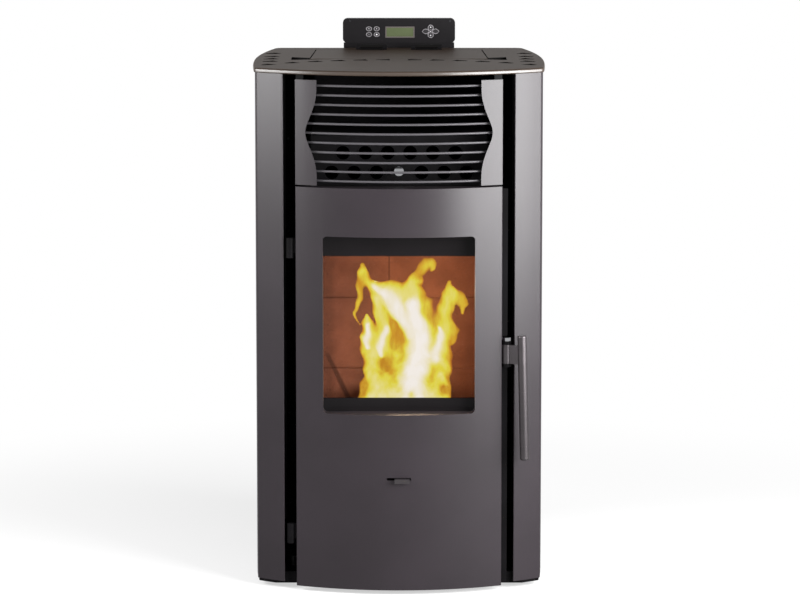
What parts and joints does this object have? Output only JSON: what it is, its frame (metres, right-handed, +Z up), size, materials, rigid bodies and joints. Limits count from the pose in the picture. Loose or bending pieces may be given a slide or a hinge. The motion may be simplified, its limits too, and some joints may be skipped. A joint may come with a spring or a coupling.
{
  "type": "pellet stove",
  "caption": "Free-standing pellet stove with a bowed glazed door, warm-air outlet grille, lidded pellet hopper and a control panel at the rear edge.",
  "frame": {"origin": "on the floor under the middle of the top plate", "axes": "+Z up, +Y towards the wall behind the stove, so the door faces -Y, +X to the right seen from the front"},
  "size_m": [0.51, 0.5208, 0.9605],
  "materials": {
    "casing_paint": "satin textured stove paint, anthracite",
    "plate_paint": "satin textured stove paint, warm grey-brown",
    "door_paint": "satin textured stove paint, anthracite",
    "black_paint": "matt heat-resistant black",
    "sheet_steel": "galvanised sheet",
    "zinc_steel": "zinc plated",
    "handle_steel": "dark satin steel",
    "chrome": "polished",
    "cast_iron": "raw, heat-darkened",
    "firebrick": "matt refractory board, warmed by the fire",
    "door_glass": "clear ceramic glass with black printed bands",
    "rope": "woven glass fibre rope",
    "rubber": "matt",
    "black_plastic": "fine matt grain",
    "key_plastic": "soft-touch keys with a grey outline",
    "display": "grey-green liquid crystal behind a grey bezel",
    "motor_grey": "cast and painted grey",
    "black_zinc": "black zinc plated, faintly oily",
    "circuit_board": "green solder mask"
  },
  "bodies": {
    "stove": {"top_plate": "plate_paint", "side_panel_left": "casing_paint", "side_panel_right": "casing_paint", "base_tray": "black_paint", "levelling_feet": "rubber", "rear_panel": "black_paint", "casing_screws": "black_zinc", "outlet_grille": "black_paint", "grille_wing_left": "door_paint", "grille_wing_right": "door_paint", "firebox_shell": "black_paint", "firebrick_back": "firebrick", "firebrick_sides": "firebrick", "burn_pot_cradle": "cast_iron", "burn_pot": "cast_iron", "ash_drawer": "sheet_steel", "exchanger_box": "black_paint", "exchanger_tubes": "black_paint", "pellet_hopper": "black_paint", "lid_hinge_brackets": "black_paint", "auger_tube": "sheet_steel", "auger_gearmotor": "motor_grey", "feed_chute": "black_paint", "air_intake_pipe": "sheet_steel", "smoke_duct": "sheet_steel", "exhaust_fan_housing": "black_paint", "exhaust_fan_motor": "motor_grey", "room_fan_housing": "sheet_steel", "igniter": "zinc_steel", "control_board": "circuit_board", "pressure_switch": "black_plastic", "power_inlet": "black_plastic", "panel_housing": "black_plastic", "panel_display": "display", "panel_screws": "zinc_steel", "door_hinge_brackets": "black_paint", "latch_keeper": "zinc_steel"},
    "door": {"door_skin": "door_paint", "door_frame": "black_paint", "door_glass": "door_glass", "glass_clips": "zinc_steel", "door_rope_seal": "rope", "handle_pin": "chrome"},
    "handle": {"handle_lever": "handle_steel", "handle_grip": "handle_steel"},
    "air_slider": {"air_slider": "handle_steel"},
    "lid": {"hopper_lid": "plate_paint", "lid_gasket": "rubber"},
    "scraper": {"scraper_rod": "zinc_steel", "scraper_knob": "chrome"},
    "rocker": {"power_rocker": "black_plastic"},
    "screw": {"auger_screw": "zinc_steel"},
    "exhaust_fan": {"exhaust_impeller": "zinc_steel"},
    "room_fan": {"room_fan_wheel": "zinc_steel"},
    "key_upper_left": {"key_upper_left": "key_plastic"},
    "key_upper_right": {"key_upper_right": "key_plastic"},
    "key_lower_left": {"key_lower_left": "key_plastic"},
    "key_lower_right": {"key_lower_right": "key_plastic"},
    "nav_pad": {"nav_pad": "key_plastic"},
    "nav_ok": {"nav_ok": "key_plastic"}
  },
  "joints": [
    {"name": "door_hinge", "type": "hinge", "parent": "stove", "child": "door", "pos_m": [-0.187, -0.197, 0.35], "axis": [0, 0, -1], "range_deg": [0, 105]},
    {"name": "handle_turn", "type": "hinge", "parent": "door", "child": "handle", "pos_m": [0.186, -0.203, 0.415], "axis": [0, 0, -1], "range_deg": [0, 30]},
    {"name": "air_slider_slide", "type": "slide", "parent": "door", "child": "air_slider", "axis": [1, 0, 0], "range_m": [-0.012, 0.002]},
    {"name": "lid_hinge", "type": "hinge", "parent": "stove", "child": "lid", "pos_m": [0, 0.209, 0.912], "axis": [-1, 0, 0], "range_deg": [0, 80]},
    {"name": "scraper_pull", "type": "slide", "parent": "stove", "child": "scraper", "axis": [0, -1, 0], "range_m": [0, 0.033]},
    {"name": "key_upper_left_press", "type": "slide", "parent": "stove", "child": "key_upper_left", "axis": [0, 1, 0], "range_m": [0, 0.0008], "stiffness_N_per_m": 1200, "springref_m": -0.0003},
    {"name": "key_upper_right_press", "type": "slide", "parent": "stove", "child": "key_upper_right", "axis": [0, 1, 0], "range_m": [0, 0.0008], "stiffness_N_per_m": 1200, "springref_m": -0.0003},
    {"name": "key_lower_left_press", "type": "slide", "parent": "stove", "child": "key_lower_left", "axis": [0, 1, 0], "range_m": [0, 0.0008], "stiffness_N_per_m": 1200, "springref_m": -0.0003},
    {"name": "key_lower_right_press", "type": "slide", "parent": "stove", "child": "key_lower_right", "axis": [0, 1, 0], "range_m": [0, 0.0008], "stiffness_N_per_m": 1200, "springref_m": -0.0003},
    {"name": "nav_pad_press", "type": "slide", "parent": "stove", "child": "nav_pad", "axis": [0, 1, 0], "range_m": [0, 0.0008], "stiffness_N_per_m": 1200, "springref_m": -0.0003},
    {"name": "nav_ok_press", "type": "slide", "parent": "stove", "child": "nav_ok", "axis": [0, 1, 0], "range_m": [0, 0.0008], "stiffness_N_per_m": 1200, "springref_m": -0.0003},
    {"name": "rocker_switch", "type": "hinge", "parent": "stove", "child": "rocker", "pos_m": [-0.155, 0.2435, 0.19], "axis": [-1, 0, 0], "range_deg": [0, 16]},
    {"name": "screw_turn", "type": "hinge", "parent": "stove", "child": "screw", "pos_m": [0, 0.1, 0.365], "axis": [0, 1, 0], "continuous": true},
    {"name": "exhaust_fan_turn", "type": "hinge", "parent": "stove", "child": "exhaust_fan", "pos_m": [0.11, 0.07, 0.15], "axis": [0, 1, 0], "continuous": true},
    {"name": "room_fan_turn", "type": "hinge", "parent": "stove", "child": "room_fan", "pos_m": [-0.1, 0.138, 0.108], "axis": [1, 0, 0], "continuous": true}
  ]
}
